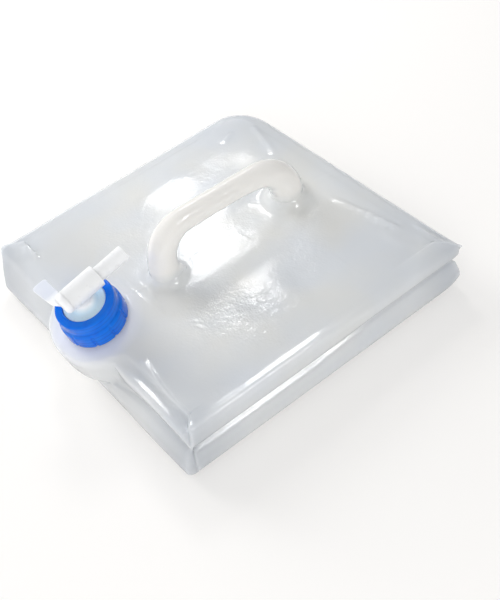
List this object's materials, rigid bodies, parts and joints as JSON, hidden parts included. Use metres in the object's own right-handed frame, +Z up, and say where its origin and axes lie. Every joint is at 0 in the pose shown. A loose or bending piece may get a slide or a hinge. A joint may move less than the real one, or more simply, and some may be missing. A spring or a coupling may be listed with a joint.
{
  "type": "collapsible water carrier",
  "caption": "Folding translucent plastic water carrier with a moulded arch handle, a blue screw collar and a white lever tap, lying partly folded flat.",
  "frame": {"origin": "middle of the flat underside of the bag, on the floor", "axes": "+Z up through the panels, -Y towards the neck and tap, +X to the right when the tap faces the viewer"},
  "size_m": [0.2815, 0.3036, 0.107],
  "materials": {
    "film": "milky translucent blow-moulded film, glossy on its folds",
    "tap_white": "natural white injection-moulded plastic, satin",
    "collar_blue": "bright blue injection-moulded plastic, glossy",
    "seal": "soft matt rubber"
  },
  "bodies": {
    "bag_base": {"bottom_panel": "film", "wall_front": "film", "wall_right": "film", "wall_back": "film", "wall_left": "film"},
    "bag_top": {"top_panel": "film", "neck_shoulder": "film", "neck": "film", "handle": "film"},
    "seal": {"neck_gasket": "seal"},
    "collar": {"collar": "collar_blue"},
    "tap": {"tap_body": "tap_white"},
    "plug": {"tap_plug": "tap_white", "plug_o_ring_outer": "seal", "plug_o_ring_inner": "seal"}
  },
  "joints": [
    {"name": "expand", "type": "slide", "parent": "bag_base", "child": "bag_top", "axis": [0, 0, 1], "range_m": [0, 0.21], "deforming": ["wall_front", "wall_right", "wall_back", "wall_left"]},
    {"name": "tap_lift", "type": "slide", "parent": "bag_top", "child": "seal", "axis": [0, -0.2198, 0.9755], "range_m": [0, 0.006]},
    {"name": "collar_spin", "type": "hinge", "parent": "seal", "child": "collar", "pos_m": [0, -0.1255, 0.0515], "axis": [0, -0.2198, 0.9755], "range_deg": [0, 540]},
    {"name": "tap_swivel", "type": "hinge", "parent": "seal", "child": "tap", "pos_m": [0, -0.1255, 0.0515], "axis": [0, -0.2198, 0.9755], "continuous": true},
    {"name": "plug_turn", "type": "hinge", "parent": "tap", "child": "plug", "pos_m": [0, -0.13427, 0.09042], "axis": [0, 0.9755, 0.2198], "range_deg": [0, 90]}
  ],
  "couplings": [
    {"joint": "tap_lift", "follows": "collar_spin", "m_per_rad": 0.0006366}
  ]
}
